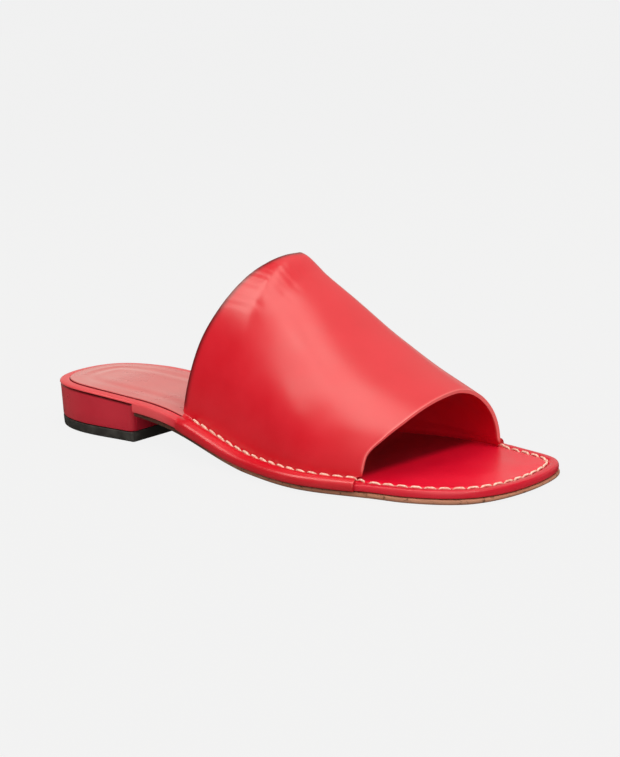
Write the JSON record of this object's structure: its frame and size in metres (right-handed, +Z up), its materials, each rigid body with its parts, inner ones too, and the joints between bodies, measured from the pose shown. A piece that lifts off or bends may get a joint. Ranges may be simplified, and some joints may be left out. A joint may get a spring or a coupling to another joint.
{
  "type": "mule",
  "caption": "Open-toe, backless slip-on shoe for the right foot: a wide leather band over a slim sole with a low covered block heel.",
  "frame": {"origin": "floor plane under the middle of the shoe's bounding box", "axes": "+Z up; -Y toward the toe; -X toward the outer side of the right foot"},
  "size_m": [0.101, 0.2553, 0.0862],
  "materials": {
    "outsole": "bare tan sole leather, matt",
    "midsole": "smooth red leather, soft sheen",
    "insole": "smooth red lining leather, glossy",
    "upper": "smooth red leather, soft sheen",
    "heel": "smooth dark red leather, semi-gloss",
    "top_lift": "black rubber, matt"
  },
  "bodies": {
    "root": {"outsole": "outsole", "midsole": "midsole", "insole": "insole", "upper": "upper", "heel": "heel", "top_lift": "top_lift"}
  },
  "joints": []
}
